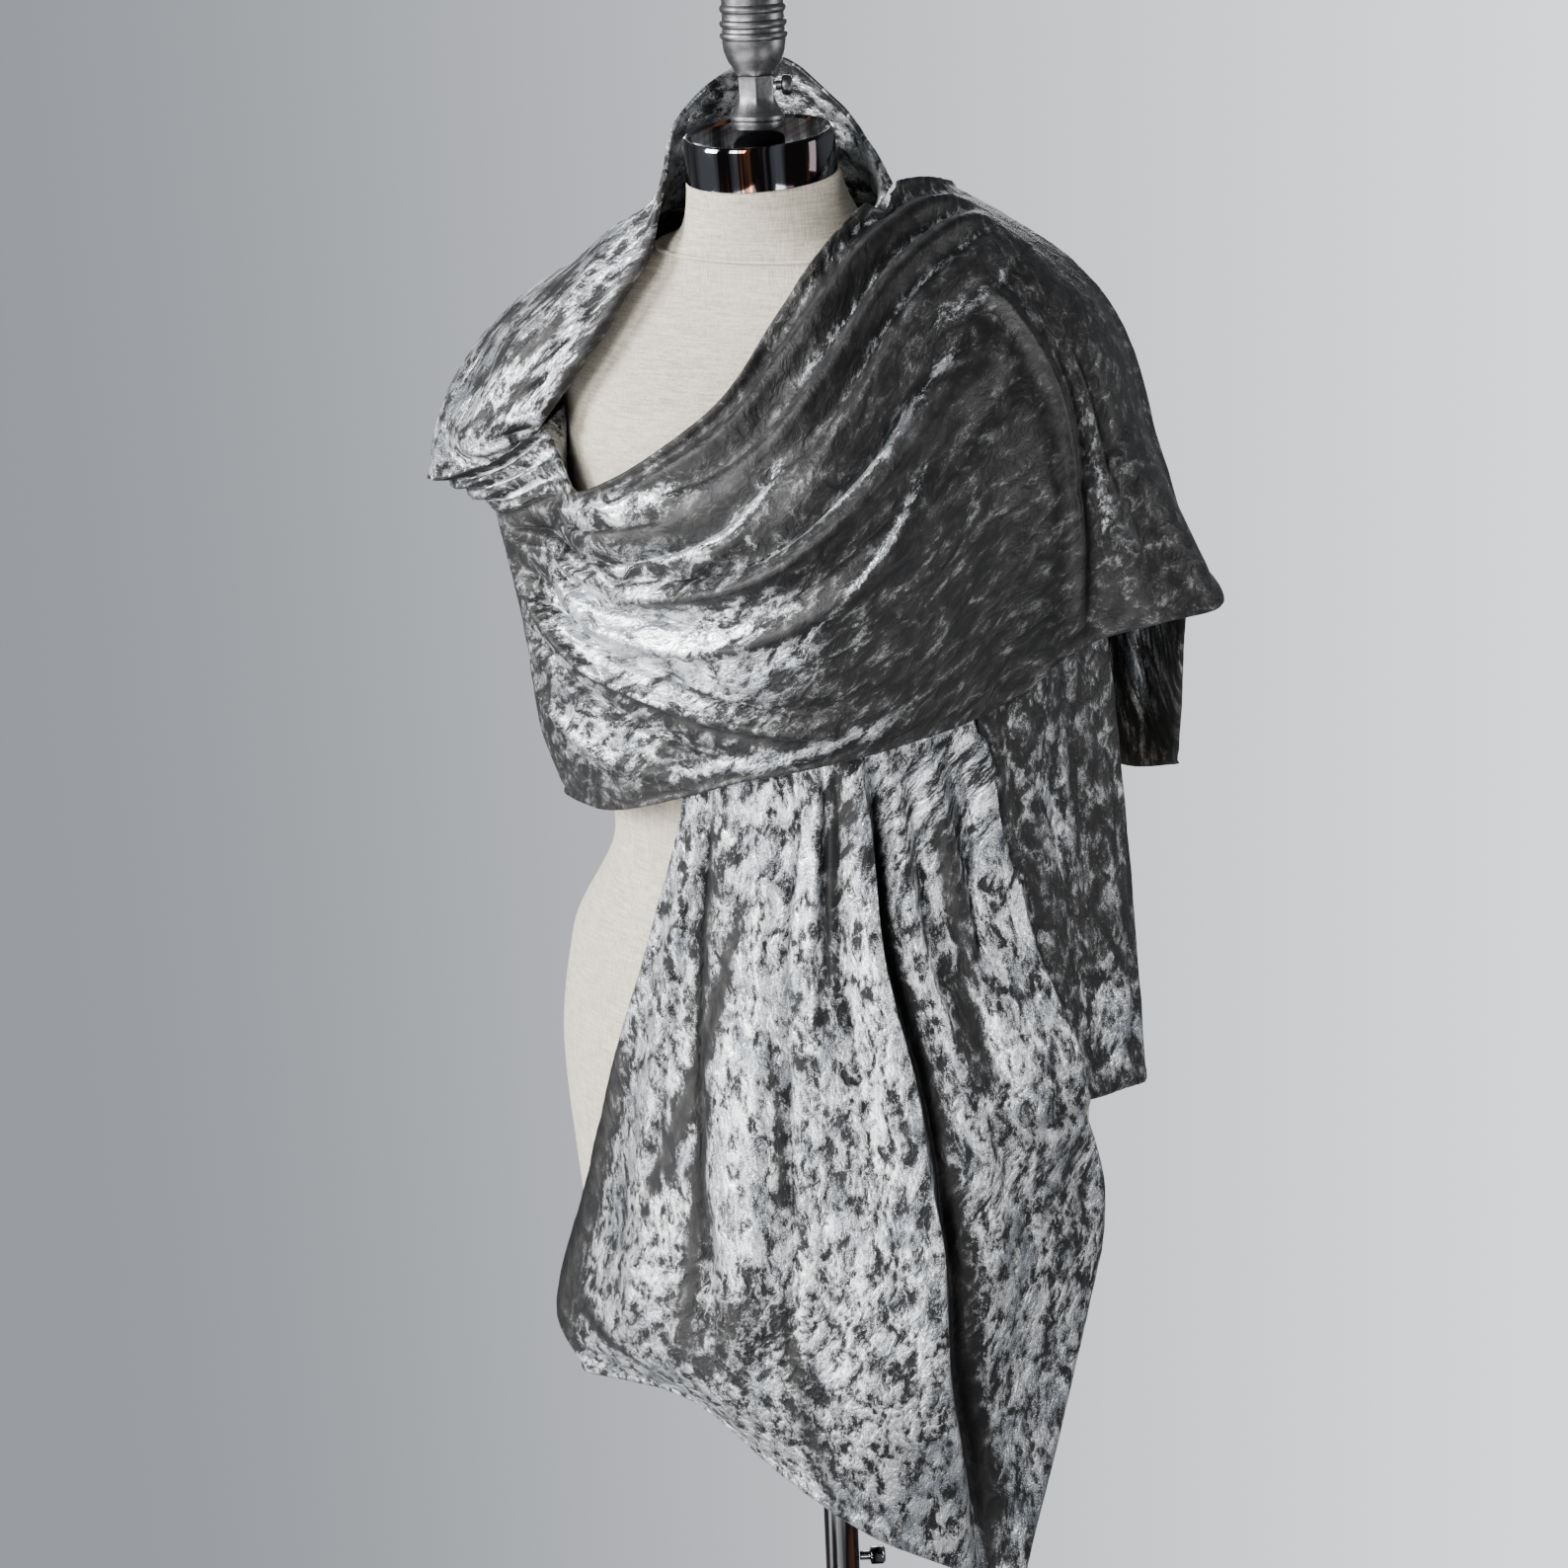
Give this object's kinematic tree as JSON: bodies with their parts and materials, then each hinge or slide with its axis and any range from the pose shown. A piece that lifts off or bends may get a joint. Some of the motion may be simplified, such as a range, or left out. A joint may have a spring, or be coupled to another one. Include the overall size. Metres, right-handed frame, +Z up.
{
  "type": "evening stole on dress form",
  "caption": "Long crushed velvet stole draped as a high collar, one-shoulder wrap and hanging pleated end on a limbless linen dress form with a round stand",
  "frame": {"origin": "centre of the round base's underside, on the floor", "axes": "+Z up, the form faces -Y, its own left side is +X"},
  "size_m": [0.54, 0.3511, 1.531],
  "materials": {
    "crushed_velvet": "crushed pile with a silver sheen",
    "linen_cover": "plain fine weave, matte",
    "pewter_finial": "satin, dark pewter colour",
    "chrome_plate": "polished",
    "base_iron": "satin black"
  },
  "bodies": {
    "root": {"form_torso": "linen_cover", "neck_cap": "chrome_plate", "finial": "pewter_finial", "thumb_knob": "pewter_finial", "form_plate": "base_iron", "stand_pole": "chrome_plate", "height_knob": "chrome_plate", "stand_hub": "chrome_plate", "stand_base": "base_iron", "stole_collar": "crushed_velvet", "stole_back": "crushed_velvet", "stole_right_shoulder": "crushed_velvet", "stole_pinch_fold": "crushed_velvet", "stole_front_wrap": "crushed_velvet", "stole_left_shoulder": "crushed_velvet", "stole_back_end": "crushed_velvet", "stole_side_end": "crushed_velvet", "stole_front_drop": "crushed_velvet", "stole_front_end": "crushed_velvet"}
  },
  "joints": []
}
